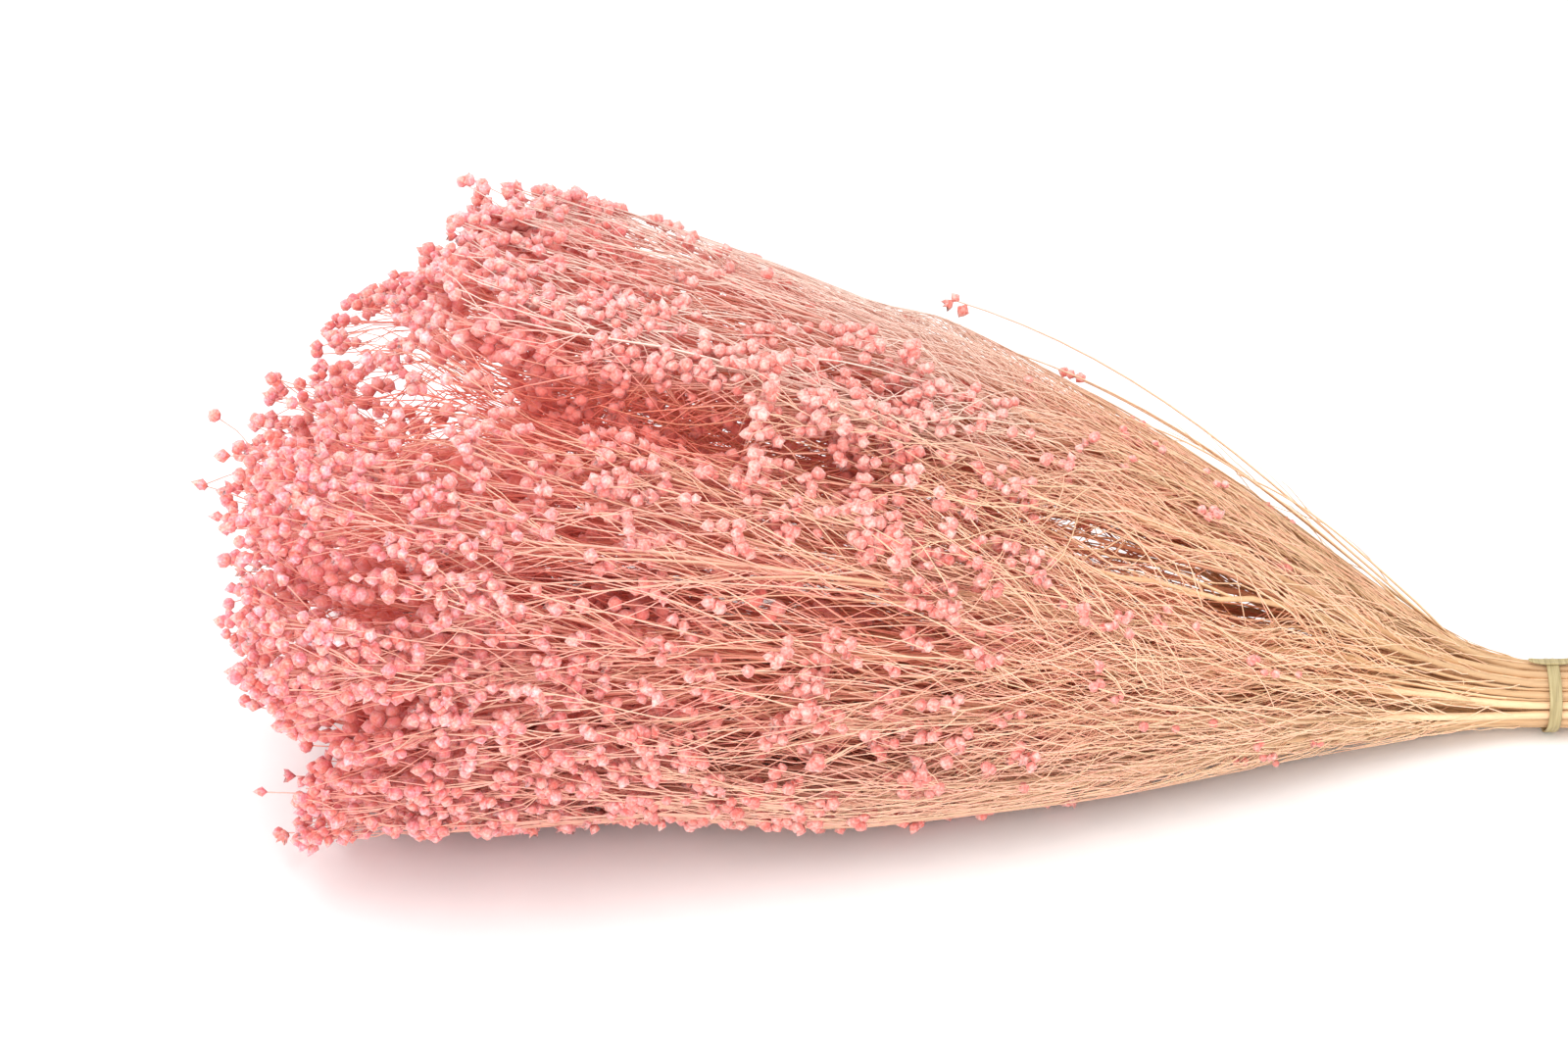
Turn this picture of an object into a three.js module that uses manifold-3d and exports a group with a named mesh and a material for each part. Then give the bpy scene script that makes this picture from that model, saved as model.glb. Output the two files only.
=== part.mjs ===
// Preserved broom bloom: a lying bunch of dried flowering sprays, bound with a strip of reed.
// The bunch runs along X. The flowering head points to -X and the cut stems to +X.
import * as THREE from 'three';
import { mergeVertices } from 'three/addons/utils/BufferGeometryUtils.js';
import Module from 'manifold-3d';

const wasm = await Module();
wasm.setup();

// Sizes of the whole bunch, in millimetres
const TIED_RADIUS = 11;
const HEAD_LENGTH = 424;
const CUT_LENGTH = 110;

// How the bunch opens beyond the tie
const FLARE = 37.4;
const FLARE_START = 74;
const FLATNESS = 0.72;
const SETTLE = 0.96;
const CUT_SPREAD = 0.02;

// How the sprays share the bunch: rings of round cells, each ring leaning its own way
const RING_COUNTS = [1, 6, 12, 18];
const RING_STEP = 0.29;
const CELL_RADIUS = 0.145;
const RING_LEAN = [0, 0.26, -0.2, 0.15];
const TOP_SHORTER = 70;

// One spray
const STEM_RADIUS = 1.35;
const STEM_TIP_RADIUS = 0.85;
const STEM_SECTIONS = [5, 60, 125, 210, 310];
const STALKS = [4, 4, 4, 6];
const STALK_RADIUS = 0.62;
const STALK_CLEAR = 0.7;
const NECK_RADIUS = 0.45;
const GOLDEN_TURN = 2.39996;

// One bud, widest just past its middle, and how the side buds stand off their stalk
const BUD_RADIUS = 3.3;
const BUD_LENGTH = 7.4;
const BUD_WAIST = 0.58;
const SIDE_BUDS = [10, 16];
const SIDE_TURNS = [1.4, -1.7];
const SIDE_TILT = 1.02;

// The strip of reed round the stems
const BAND_WIDTH = 4.2;
const BAND_INNER = 11.5;
const BAND_THICK = 0.7;
const BAND_SIDES = 18;
const TAIL_WIDTH = 3.4;
const TAIL_LENGTH = 28;
const TUCK_LENGTH = 8;
const AXIS_HEIGHT = BAND_INNER + BAND_THICK;

// Part of a number after its point: multiples of fixed ratios give even, repeatable scatter
function scatter(n, ratio) {
  const x = n * ratio + 0.5;
  return x - Math.floor(x);
}

function mix(a, b, share) {
  return a + (b - a) * share;
}

// Growth of the bunch's half width at a distance t from the tie
function opening(t) {
  if (t < 0) {
    return -t * CUT_SPREAD;
  }
  return FLARE * Math.log(1 + (t / FLARE_START) ** 2);
}

function halfHeight(t) {
  return TIED_RADIUS + FLATNESS * opening(t);
}

function halfWidth(t) {
  return TIED_RADIUS + opening(t);
}

// A point of the bunch from its distance t and its place (u, v) in a round section.
// The underside is squarer than the top, because the bunch lies on it.
function place(t, u, v) {
  const high = halfHeight(t);
  let square = 1;
  if (v < 0) {
    const r = Math.hypot(u, v);
    const corner = (Math.abs(u / r) ** 3 + Math.abs(v / r) ** 3) ** (-1 / 3);
    square = mix(1, corner, Math.min(1, opening(t) / 60));
  }
  const axis = AXIS_HEIGHT + SETTLE * (high - TIED_RADIUS);
  return new THREE.Vector3(-t, halfWidth(t) * u * square, axis + high * v * square);
}

// How far a spray reaches: the middle furthest, the group lying on top shorter
function reach(u, v, number) {
  const turn = THREE.MathUtils.radToDeg(Math.atan2(v, -u));
  const r = Math.hypot(u, v);
  const rise = 1 / (1 + Math.exp(-(turn - 52) / 8));
  const fall = 1 / (1 + Math.exp((turn - 165) / 8));
  const top = TOP_SHORTER * rise * fall * Math.min(1, r / 0.87);
  return HEAD_LENGTH - 22 * r * r - top + mix(-8, 8, scatter(number, 0.618034));
}

// The middle of a spray's cell
function cellCentre(spray, t) {
  const lean = RING_LEAN[spray.ring] * (1 - Math.exp(-Math.max(t, 0) / 150));
  const r = RING_STEP * spray.ring;
  return [r * Math.cos(spray.turn + lean), r * Math.sin(spray.turn + lean)];
}

// The main stem wanders a little inside its cell
function stemPoint(spray, t) {
  const room = Math.max(0, CELL_RADIUS - (STEM_RADIUS + 0.25) / halfHeight(t)) * 0.55;
  const [u, v] = cellCentre(spray, t);
  const du = room * Math.cos(spray.phase + t / 80);
  const dv = room * Math.sin(1.7 * spray.phase + t / 65);
  return place(t, u + du, v + dv);
}

// A point on the straight pieces between the stem's sections
function stemRoute(spray, t) {
  let k = 1;
  while (k < spray.sections.length - 1 && spray.sections[k] < t) {
    k += 1;
  }
  const share = (t - spray.sections[k - 1]) / (spray.sections[k] - spray.sections[k - 1]);
  return spray.points[k - 1].clone().lerp(spray.points[k], share);
}

// A closed solid from a three.js geometry
function solid(geometry) {
  const bare = new THREE.BufferGeometry();
  bare.setAttribute('position', geometry.getAttribute('position'));
  bare.setIndex(geometry.getIndex());
  const merged = mergeVertices(bare, 1e-4);
  const index = merged.getIndex().array;
  const triangles = [];
  for (let i = 0; i < index.length; i += 3) {
    const [a, b, c] = [index[i], index[i + 1], index[i + 2]];
    if (a !== b && b !== c && c !== a) {
      triangles.push(a, b, c);
    }
  }
  const mesh = new wasm.Mesh({
    numProp: 3,
    vertProperties: new Float32Array(merged.getAttribute('position').array),
    triVerts: new Uint32Array(triangles),
  });
  return new wasm.Manifold(mesh);
}

// A part's mesh from a solid
function meshOf(name, body, colour, roughness) {
  const data = body.getMesh();
  const geometry = new THREE.BufferGeometry();
  geometry.setAttribute('position', new THREE.BufferAttribute(data.vertProperties, 3));
  geometry.setIndex(new THREE.BufferAttribute(data.triVerts, 1));
  geometry.computeVertexNormals();
  const material = new THREE.MeshStandardMaterial({ color: colour, roughness, metalness: 0 });
  const mesh = new THREE.Mesh(geometry, material);
  mesh.name = name;
  return mesh;
}

// A stem turned on a lathe with these radii, then bent so that each ring has its own place
function grow(rings, sides, twist) {
  const profile = rings.map((ring, k) => new THREE.Vector2(ring.r, k));
  const lathe = new THREE.LatheGeometry(profile, sides);
  lathe.rotateY(twist);
  const position = lathe.getAttribute('position');
  for (let i = 0; i < position.count; i += 1) {
    const spot = rings[i % rings.length].spot;
    position.setXYZ(i, spot.x, spot.y + position.getX(i), spot.z + position.getZ(i));
  }
  return solid(lathe);
}

// The last rings of a stem or stalk: a bud between two points
function budRings(base, tip) {
  return [
    { r: NECK_RADIUS, spot: base },
    { r: BUD_RADIUS, spot: base.clone().lerp(tip, BUD_WAIST) },
    { r: 0, spot: tip },
  ];
}

// A bud that stands off a stalk, its foot sunk in the stalk
function sideBud(foot, direction, twist) {
  const profile = [[0, 0], [BUD_RADIUS, BUD_WAIST * BUD_LENGTH], [0, BUD_LENGTH]];
  const lathe = new THREE.LatheGeometry(profile.map(([r, y]) => new THREE.Vector2(r, y)), 3);
  lathe.rotateY(twist);
  const up = new THREE.Vector3(0, 1, 0);
  lathe.applyQuaternion(new THREE.Quaternion().setFromUnitVectors(up, direction));
  lathe.translate(foot.x, foot.y, foot.z);
  return solid(lathe);
}

// The side buds of a stalk that ends at tip; out is the way that its spray has room
function sideBuds(root, tip, out, twist) {
  const along = tip.clone().sub(root).normalize();
  const across = new THREE.Vector3().crossVectors(along, out).normalize();
  const away = new THREE.Vector3().crossVectors(across, along);
  return SIDE_BUDS.map((back, k) => {
    const foot = tip.clone().addScaledVector(along, -back);
    const direction = along.clone().multiplyScalar(Math.cos(SIDE_TILT));
    direction.addScaledVector(away, Math.sin(SIDE_TILT) * Math.cos(SIDE_TURNS[k]));
    direction.addScaledVector(across, Math.sin(SIDE_TILT) * Math.sin(SIDE_TURNS[k]));
    return sideBud(foot, direction, twist + k);
  });
}

// The main stem, cut square at one end and with buds at the other
function mainStem(spray) {
  const last = spray.points.length - 1;
  const rings = [{ r: 0, spot: spray.points[0] }];
  for (let k = 0; k < last; k += 1) {
    const share = Math.max(spray.sections[k], 0) / HEAD_LENGTH;
    rings.push({ r: mix(STEM_RADIUS, STEM_TIP_RADIUS, share), spot: spray.points[k] });
  }
  const tip = spray.points[last];
  const along = tip.clone().sub(spray.points[last - 1]).normalize();
  rings.push(...budRings(tip.clone().addScaledVector(along, -BUD_LENGTH), tip));
  const up = new THREE.Vector3(0, 0, 1);
  return [grow(rings, 5, 0), ...sideBuds(spray.points[last - 1], tip, up, spray.number)];
}

// A straight stalk with a bud at its end and buds on its sides
function stalk(root, tip, out, twist) {
  const along = tip.clone().sub(root).normalize();
  const rings = [{ r: 0, spot: root }, { r: STALK_RADIUS, spot: root }];
  rings.push(...budRings(tip.clone().addScaledVector(along, -BUD_LENGTH), tip));
  return [grow(rings, 3, twist), ...sideBuds(root, tip, out, twist)];
}

// A spray: one main stem and its stalks, each turned a golden angle on from the last
function sprayBody(spray) {
  const bodies = mainStem(spray);
  const first = spray.ring === 3 ? 0.45 : 0.62;
  const count = STALKS[spray.ring];
  for (let j = 0; j < count; j += 1) {
    const n = spray.number * 10 + j;
    const far = ((j + 0.3 + 0.7 * scatter(n, 0.549700478)) / count) ** 0.7;
    const t = mix(first, 0.985, far) * spray.reach;
    const root = stemRoute(spray, Math.max(20, t - mix(75, 120, scatter(n, 0.754877666))));
    const turn = spray.phase + GOLDEN_TURN * j;
    const margin = BUD_RADIUS + STALK_CLEAR;
    const [u, v] = cellCentre(spray, t);
    const du = (CELL_RADIUS - margin / halfWidth(t)) * Math.cos(turn);
    const dv = (CELL_RADIUS - margin / halfHeight(t)) * Math.sin(turn);
    const tip = place(t, u + du, v + dv);
    tip.z = Math.max(tip.z, 0.7 * BUD_RADIUS);
    const out = new THREE.Vector3(0, Math.cos(turn), Math.sin(turn));
    bodies.push(...stalk(root, tip, out, n));
  }
  return wasm.Manifold.union(bodies).trimByPlane([0, 0, 1], 0);
}

// The band, its loose end along the stems and its tucked end
function bandBody() {
  const corners = (apothem) => {
    const radius = apothem / Math.cos(Math.PI / BAND_SIDES);
    const list = [];
    for (let k = 0; k < BAND_SIDES; k += 1) {
      const turn = (2 * Math.PI * (k + 0.5)) / BAND_SIDES - Math.PI / 2;
      list.push(new THREE.Vector2(radius * Math.cos(turn), radius * Math.sin(turn)));
    }
    return list;
  };
  const outline = new THREE.Shape(corners(BAND_INNER + BAND_THICK));
  outline.holes.push(new THREE.Path(corners(BAND_INNER)));
  const ring = new THREE.ExtrudeGeometry(outline, { depth: BAND_WIDTH, bevelEnabled: false });
  ring.translate(0, 0, -0.5 * BAND_WIDTH);
  ring.rotateX(Math.PI / 2);
  ring.rotateZ(Math.PI / 2);
  ring.translate(0, 0, AXIS_HEIGHT);
  const top = 2 * AXIS_HEIGHT;
  const strip = new THREE.Shape();
  strip.moveTo(-TUCK_LENGTH, top + 0.7);
  strip.lineTo(-0.4 * BAND_WIDTH, top - 0.25);
  strip.lineTo(0.4 * BAND_WIDTH, top - 0.25);
  strip.lineTo(0.45 * TAIL_LENGTH, top + 0.4);
  strip.lineTo(TAIL_LENGTH, top + 1.1);
  strip.lineTo(TAIL_LENGTH, top + 1.1 + BAND_THICK);
  strip.lineTo(0.45 * TAIL_LENGTH, top + 0.4 + BAND_THICK);
  strip.lineTo(0.4 * BAND_WIDTH, top + 0.5);
  strip.lineTo(-0.4 * BAND_WIDTH, top + 0.5);
  strip.lineTo(-TUCK_LENGTH, top + 0.7 + BAND_THICK);
  const tail = new THREE.ExtrudeGeometry(strip, { depth: TAIL_WIDTH, bevelEnabled: false });
  tail.rotateX(Math.PI / 2);
  tail.translate(0, 0.5 * TAIL_WIDTH, 0);
  return solid(ring).add(solid(tail));
}

// The sprays, from the middle of the bunch outward
const sprays = [];
for (let ring = 0; ring < RING_COUNTS.length; ring += 1) {
  for (let k = 0; k < RING_COUNTS[ring]; k += 1) {
    const number = sprays.length + 1;
    const spray = { ring, number, turn: (2 * Math.PI * (k + 0.5)) / RING_COUNTS[ring] };
    spray.phase = 2 * Math.PI * scatter(number, 0.7548776662);
    const [u, v] = cellCentre(spray, HEAD_LENGTH);
    spray.reach = reach(u, v, number);
    const cut = CUT_LENGTH - mix(0, 16, scatter(number, 0.5698402910));
    const inner = STEM_SECTIONS.filter((t) => t < spray.reach - 40);
    spray.sections = [-cut, ...inner, spray.reach];
    spray.points = spray.sections.map((t) => stemPoint(spray, t));
    sprays.push(spray);
  }
}

const bunch = new THREE.Group();
bunch.name = 'preserved_broom_bloom';
const PINKS = ['#e6aea2', '#e09c8f', '#d68b7d'];
for (const spray of sprays) {
  const name = `bloom_spray_${String(spray.number).padStart(2, '0')}`;
  bunch.add(meshOf(name, sprayBody(spray), PINKS[spray.number % PINKS.length], 0.85));
}
bunch.add(meshOf('reed_tie', bandBody(), '#cdbd85', 0.7));

// The origin is the middle of the box's underside
const box = new THREE.Box3().setFromObject(bunch);
for (const mesh of bunch.children) {
  mesh.geometry.translate(-0.5 * (box.min.x + box.max.x), -0.5 * (box.min.y + box.max.y), -box.min.z);
}

export default bunch;
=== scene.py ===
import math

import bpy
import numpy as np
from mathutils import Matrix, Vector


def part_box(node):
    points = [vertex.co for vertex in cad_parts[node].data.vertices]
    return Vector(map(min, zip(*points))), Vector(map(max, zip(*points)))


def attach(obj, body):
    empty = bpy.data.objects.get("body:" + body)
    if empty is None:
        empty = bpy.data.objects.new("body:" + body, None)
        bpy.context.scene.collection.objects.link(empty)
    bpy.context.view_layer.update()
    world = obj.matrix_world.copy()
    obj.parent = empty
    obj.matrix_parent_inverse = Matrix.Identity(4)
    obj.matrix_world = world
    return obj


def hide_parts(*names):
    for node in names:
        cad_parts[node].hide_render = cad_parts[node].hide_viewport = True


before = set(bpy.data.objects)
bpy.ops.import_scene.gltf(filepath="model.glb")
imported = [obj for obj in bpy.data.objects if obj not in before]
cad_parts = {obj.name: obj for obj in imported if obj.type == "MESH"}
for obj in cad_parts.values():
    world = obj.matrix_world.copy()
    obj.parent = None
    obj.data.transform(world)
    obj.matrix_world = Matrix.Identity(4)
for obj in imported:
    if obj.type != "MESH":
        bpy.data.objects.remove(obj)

# %% [markdown]
# # A bunch of preserved broom bloom
# The real object is a lying bunch of dried flowering stems, bleached, dyed pink and tied with a strip of
# reed. Each stem forks again and again into twigs as thin as hair, and each twig ends in a few buds of
# about 4 mm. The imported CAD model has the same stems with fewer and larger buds. Each of its sprays is
# grown again here, along the same line and in the same room, with all its twigs. Lengths are worked out in
# millimetres and turned to metres where a mesh is made.

MM = 0.001
bpy.context.view_layer.update()

# %% [markdown]
# ## The room that the stems share
# A tied bunch is a tube at the tie that opens like a trumpet. The CAD model places its stems by a distance
# t from the tie and a spot (u, v) in a round section, and the same rule is used here, so the fine stems lie
# where the plain ones do. The underside is squarer than the top, because the bunch lies on it.

# %% The rule of the bunch
TIED_RADIUS = 11.0
HEAD_LENGTH = 424.0
FLARE = 37.4
FLARE_START = 74.0
FLATNESS = 0.72
SETTLE = 0.96
CUT_SPREAD = 0.02
AXIS_HEIGHT = 12.2
TIE_HEAD_END = 8.0


def opening(t):
    return np.where(t < 0, -t * CUT_SPREAD, FLARE * np.log(1 + (np.maximum(t, 0) / FLARE_START) ** 2))


def half_width(t):
    return TIED_RADIUS + opening(t)


def half_height(t):
    return TIED_RADIUS + FLATNESS * opening(t)


def axis_height(t):
    return AXIS_HEIGHT + SETTLE * FLATNESS * opening(t)


def squareness(t, u, v):
    """How far the squarer underside reaches past a round one."""
    r = np.maximum(np.hypot(u, v), 1e-9)
    corner = np.maximum(np.abs(u / r) ** 3 + np.abs(v / r) ** 3, 0.1) ** (-1 / 3)
    return np.where(v < 0, 1 + (corner - 1) * np.minimum(1, opening(t) / 60), 1.0)


def place(t, u, v):
    t, u, v = np.broadcast_arrays(np.asarray(t, float), u, v)
    square = squareness(t, u, v)
    return np.stack([-t, half_width(t) * u * square, axis_height(t) + half_height(t) * v * square], axis=-1)


def section(spots):
    """Distance from the tie, turn round the axis in degrees (0 in front, 90 above), share of the way out."""
    spots = np.asarray(spots, float)
    t = -spots[..., 0]
    u = spots[..., 1] / half_width(t)
    v = (spots[..., 2] - AXIS_HEIGHT - SETTLE * FLATNESS * opening(t)) / half_height(t)
    return t, np.degrees(np.arctan2(v, -u)), np.hypot(u, v) / squareness(t, u, v)


tie_low, tie_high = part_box("reed_tie")
SHIFT = np.array([tie_low[0] / MM + TIE_HEAD_END, (tie_low[1] + tie_high[1]) / 2 / MM, 0.0])
print("from the tie's middle to the frame's origin, in mm:", SHIFT.round(2))

# %% [markdown]
# ## Where each stem runs
# The CAD model sets 37 stems in rings of 1, 6, 12 and 18. Multiples of fixed ratios scatter them evenly,
# and give the same bunch on each run. The stems wander a little, and their tips end at different distances.

# %% The 37 stems
RING_COUNTS = [1, 6, 12, 18]
RING_STEP = 0.29
CELL_RADIUS = 0.145
RING_LEAN = [0, 0.26, -0.2, 0.15]
OUTER_RING = 3
TIP_ROUNDING = 22
TIP_WANDER = 8
TOP_SHORTER = 70
TOP_EDGES = (52, 165)
LONGEST_CUT = 110
STALKS = [4, 4, 4, 6]
GOLDEN_TURN = 2.39996
PHASE_RATIO = 0.7548776662
TIP_RATIO = 0.618034
CUT_RATIO = 0.5698402910
STALK_RATIO = 0.549700478
ROOT_RATIO = 0.754877666


def scatter(n, ratio):
    return (n * ratio + 0.5) % 1.0


def mix(a, b, share):
    return a + (b - a) * share


def smooth(low, high, x):
    s = np.clip((np.asarray(x, float) - low) / (high - low), 0, 1)
    return s * s * (3 - 2 * s)


def reach(turn, r):
    """How far the stems reach: less near the surface, and least on top."""
    rise = 1 / (1 + np.exp(-(turn - TOP_EDGES[0]) / 8))
    fall = 1 / (1 + np.exp((turn - TOP_EDGES[1]) / 8))
    return HEAD_LENGTH - TIP_ROUNDING * r * r - TOP_SHORTER * rise * fall * np.minimum(1, r / 0.87)


def cell_centre(stem, t):
    lean = RING_LEAN[stem["ring"]] * (1 - np.exp(-np.maximum(t, 0) / 150))
    r = RING_STEP * stem["ring"]
    return r * np.cos(stem["turn"] + lean), r * np.sin(stem["turn"] + lean)


def stem_section(stem, t):
    """A stem's spot in the section. It wanders in the room that its thickness leaves in its cell."""
    room = np.maximum(0, CELL_RADIUS - 1.6 / half_height(t)) * 0.55
    u, v = cell_centre(stem, t)
    return u + room * np.cos(stem["phase"] + t / 80), v + room * np.sin(1.7 * stem["phase"] + t / 65)


stems = []
for ring, count in enumerate(RING_COUNTS):
    for k in range(count):
        stem = {"ring": ring, "number": len(stems) + 1, "turn": 2 * math.pi * (k + 0.5) / count}
        stem["phase"] = 2 * math.pi * scatter(stem["number"], PHASE_RATIO)
        u, v = cell_centre(stem, HEAD_LENGTH)
        wander = mix(-TIP_WANDER, TIP_WANDER, scatter(stem["number"], TIP_RATIO))
        stem["reach"] = float(reach(math.degrees(math.atan2(v, -u)), math.hypot(u, v)) + wander)
        stem["cut"] = LONGEST_CUT - mix(0, 16, scatter(stem["number"], CUT_RATIO))
        stems.append(stem)
print(len(stems), "stems, reaching", round(min(s["reach"] for s in stems)), "to",
      round(max(s["reach"] for s in stems)), "mm beyond the tie")

# %% [markdown]
# ## What makes this bunch look the way it does
# A real bunch isn't even. Here one group lies on top and ends sooner, with a deep furrow under its front
# edge. Buds start early on that group and late in the middle one, and two narrow partings let the table
# show through. These are small rules on top of the even bunch, so they hold from every side.

# %% Furrow, partings, bloom and furthest tips
FURROW_DEPTH = 0.3
FURROW_TURN = 53


def hump(low, high, soft, x):
    """1 between low and high, falling to 0 over a soft edge on both sides."""
    return smooth(low - soft, low, x) * (1 - smooth(high, high + soft, x))


def furrow(t, turn):
    """Depth of the furrow, as a share of the way out."""
    return FURROW_DEPTH * hump(232, 320, 30, t) * np.exp(-(((turn - FURROW_TURN) / 8) ** 2))


def room(t, turn):
    """How far out twigs may stand, as a share of the way out: a little less on top and along the table."""
    top = 0.07 * hump(75, 150, 20, turn) * hump(225, 330, 30, t)
    under = 0.08 * hump(-90, -25, 15, turn) * smooth(220, 300, t)
    return 1.03 - furrow(t, turn) - top - under


def furthest(turn, r):
    """How far from the tie buds may stand: a crown on top reaches further, the lower front less far."""
    outside = smooth(0.5, 0.85, r)
    tuft = 8 * smooth(-20, -35, turn) * outside
    crown = 16 * hump(68, 98, 12, turn) - 8 * hump(115, 150, 12, turn) + 10 * smooth(150, 165, np.abs(turn))
    return reach(turn, r) + 2 - tuft + crown * outside


def buried(t, turn, r):
    """How deep a spot lies in the bunch, under its side or its far end."""
    return np.minimum((1 - r) * half_width(t), np.maximum(furthest(turn, r) - t, 0))


def bloom(t, turn):
    """Share of the twigs that carry buds, at a place near the surface. The top is bare until far out."""
    upper = hump(48, 74, 8, turn)
    top = hump(86, 155, 10, turn)
    early = 0.05 + 0.95 * smooth(155, 255, t)
    late = 0.05 + 0.25 * smooth(110, 240, t) + 0.7 * smooth(245, 340, t)
    last = 0.03 + 0.97 * smooth(288, 335, t)
    return mix(mix(late, early, upper), last, top)


def drift(t, turn, r):
    """How far twigs lean round the bunch: the middle group up under the fringe, the fringe down over it."""
    middle = 1.1 * hump(2, 40, 8, turn) * smooth(0.45, 0.75, r) * hump(140, 290, 50, t)
    fringe = 1.8 * hump(56, 80, 8, turn) * smooth(0.6, 0.85, r) * hump(140, 235, 30, t)
    return float(middle - fringe)


EYE_RISE = math.radians(28)
ACROSS_PARTING = np.array([0, math.sin(EYE_RISE), math.cos(EYE_RISE)])
SHOULDER = ((335, 346, 353, 362, 390, 402, 410, 424), (190, 182, 160, 152, 146, 142, 128, 104))
# Each parting: where it starts and ends along the stems, its height at both, and how far twigs move aside.
PARTING = (70, 178, 29, 72, 2.9)
FAR_PARTING = (346, 404, 98, 121, 8)
KEPT_CLEAR = (92, 172)
THIN_STRETCH = (338, 402)
THIN_HEIGHTS = (92, 140)


def beyond(spots):
    """True past the end of the head, which has a notch low in front, and above its far shoulder."""
    t, turn, r = section(spots)
    height = spots @ ACROSS_PARTING
    notch = 28 * np.exp(-(((height + 3) / 8) ** 2))
    return (t > furthest(turn, r) - notch) | (height > np.interp(t, *SHOULDER))


def sparse(spot):
    """True behind the upper group's tips, where the head is thin enough to see through."""
    along = THIN_STRETCH[0] < -spot[0] < THIN_STRETCH[1]
    return along and THIN_HEIGHTS[0] < spot @ ACROSS_PARTING < THIN_HEIGHTS[1]


def ripple(t):
    """A wave along a parting, which makes it a row of short gaps."""
    return np.sin((t - 12) / 7)


def in_parting(spots):
    """True if a line would lie in the parting near the tie."""
    t = -spots[:, 0]
    away = spots @ ACROSS_PARTING - np.interp(t, PARTING[:2], PARTING[2:4])
    return bool(np.any((t > KEPT_CLEAR[0]) & (t < KEPT_CLEAR[1]) & (np.abs(away) < 1.3 + ripple(t))))


def part_twigs(spots):
    """Presses twigs apart along two narrow sheets: one near the tie and a small one at the far head."""
    t = -spots[:, 0]
    height = spots @ ACROSS_PARTING
    moved = np.zeros(len(spots))
    for start, end, low, high, wide in (PARTING, FAR_PARTING):
        line = np.interp(t, (start, end), (low, high))
        soft = 0.35 * (end - start)
        run = hump(start + soft, end - soft, soft, t) * (1 + 0.4 * ripple(t))
        away = height - line
        moved += wide * run * np.tanh(away / (0.5 * wide + 0.4)) * np.exp(-((away / 24) ** 2))
    return spots + moved[:, None] * ACROSS_PARTING


# %% [markdown]
# ## How a spray forks
# One rule draws it all: a branch leaves its stem at a narrow angle and then bends to run beside it, and the
# twigs on the branch do the same on a smaller scale. Each line is a row of points with a thickness. A later
# step wraps a tube round it, so nothing here costs a face yet.

# %% Lines of a spray
STEM, BRANCH, TWIG, STALK, BUD = range(5)
BEND = 1.55
FRINGE_END = 262
FRINGE_ROOM = 1.09


def add_line(growth, spots, thick, grade, pinker=0.0):
    hue = growth["dice"].uniform(-1, 1) + pinker
    growth["lines"].append((np.asarray(spots), np.asarray(thick), grade, hue))


def directions(spots):
    along = np.gradient(spots, axis=0)
    return along / np.linalg.norm(along, axis=1)[:, None]


def spot_on(line, at):
    """The spot and the heading at a distance from a line's start."""
    run = np.concatenate([[0], np.cumsum(np.linalg.norm(np.diff(line, axis=0), axis=1))])
    k = min(max(int(np.searchsorted(run, at)), 1), len(line) - 1)
    share = (at - run[k - 1]) / (run[k] - run[k - 1])
    ahead = line[k] - line[k - 1]
    return line[k - 1] + share * ahead, ahead / np.linalg.norm(ahead)


def length_of(line):
    return float(np.linalg.norm(np.diff(line, axis=0), axis=1).sum())


def fork(dice, root, heading, length, angle, steps, inward=0.0, lean=0.0, sway=0.02):
    """A twig that leaves at an angle and bends to run beside its stem."""
    outward = root * [0, 1, 1] - [0, 0, float(axis_height(-root[0]))]
    outward = outward - heading * (outward @ heading)
    outward = outward / max(np.linalg.norm(outward), 1e-6)
    around = np.cross(heading, outward)
    spin = dice.uniform(-math.pi, math.pi)
    side = outward * (math.cos(spin) - inward) + around * (math.sin(spin) + lean)
    side = side / max(np.linalg.norm(side), 1e-6)
    share = np.linspace(0, 1, steps)[:, None]
    aside = 1 - (1 - share) ** BEND
    spots = root + length * (share * math.cos(angle) * heading + aside * math.sin(angle) * side)
    wave = np.sin(share * math.pi * dice.uniform(1.0, 3.0) + dice.uniform(0, 6))
    return spots + (wave - wave[0]) * share * sway * length * np.cross(heading, side)


def keep_in(spots, fringe=False):
    """Draws a twig's outer points into the bunch. Each twig fills the furrow to a depth of its own."""
    t, turn, r = section(spots)
    deeper = 0.5 * (1 + math.sin(spots[0] @ (3.1, 7.7, 5.3)))
    limit = np.where(fringe & (t < FRINGE_END), FRINGE_ROOM, room(t, turn) - deeper * furrow(t, turn))
    pull = np.where(r > limit, limit / np.maximum(r, 1e-6), 1.0)
    axis = axis_height(t)
    spots = spots.copy()
    spots[:, 1] *= pull
    spots[:, 2] = axis + (spots[:, 2] - axis) * pull
    return spots


def trimmed(spots):
    """The line up to where the head ends."""
    out = np.flatnonzero(beyond(spots))
    return spots[:out[0]] if len(out) else spots


# %% [markdown]
# The buds of broom bloom stand in loose fans: several hair-thin stalks of 5 to 30 mm leave the last stretch
# of the twig at narrow angles, and each ends in one to three buds. A bud is about 4 mm thick.

# %% Buds on their stalks
BUD_THICK = (1.68, 2.36)
STALK_THICK = (0.19, 0.24)
BUDS_BESIDE = (0.5, 0.32, 0.18)
STRAY_SHARE = 0.16
STRAY_HEIGHT = 140


def shade_at(t, turn, r):
    """How pale the buds are: palest on top and at the last tips, deepest just before those, and deeper inside
    the bunch as painted shade.
    """
    upper = hump(50, 150, 20, turn) * smooth(0.75, 1.0, r)
    tips = 0.2 * smooth(388, 412, t)
    return 0.36 + 0.24 * upper + 0.12 * smooth(0.7, 1.0, r) - 0.1 * hump(365, 385, 25, t) + tips


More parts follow.
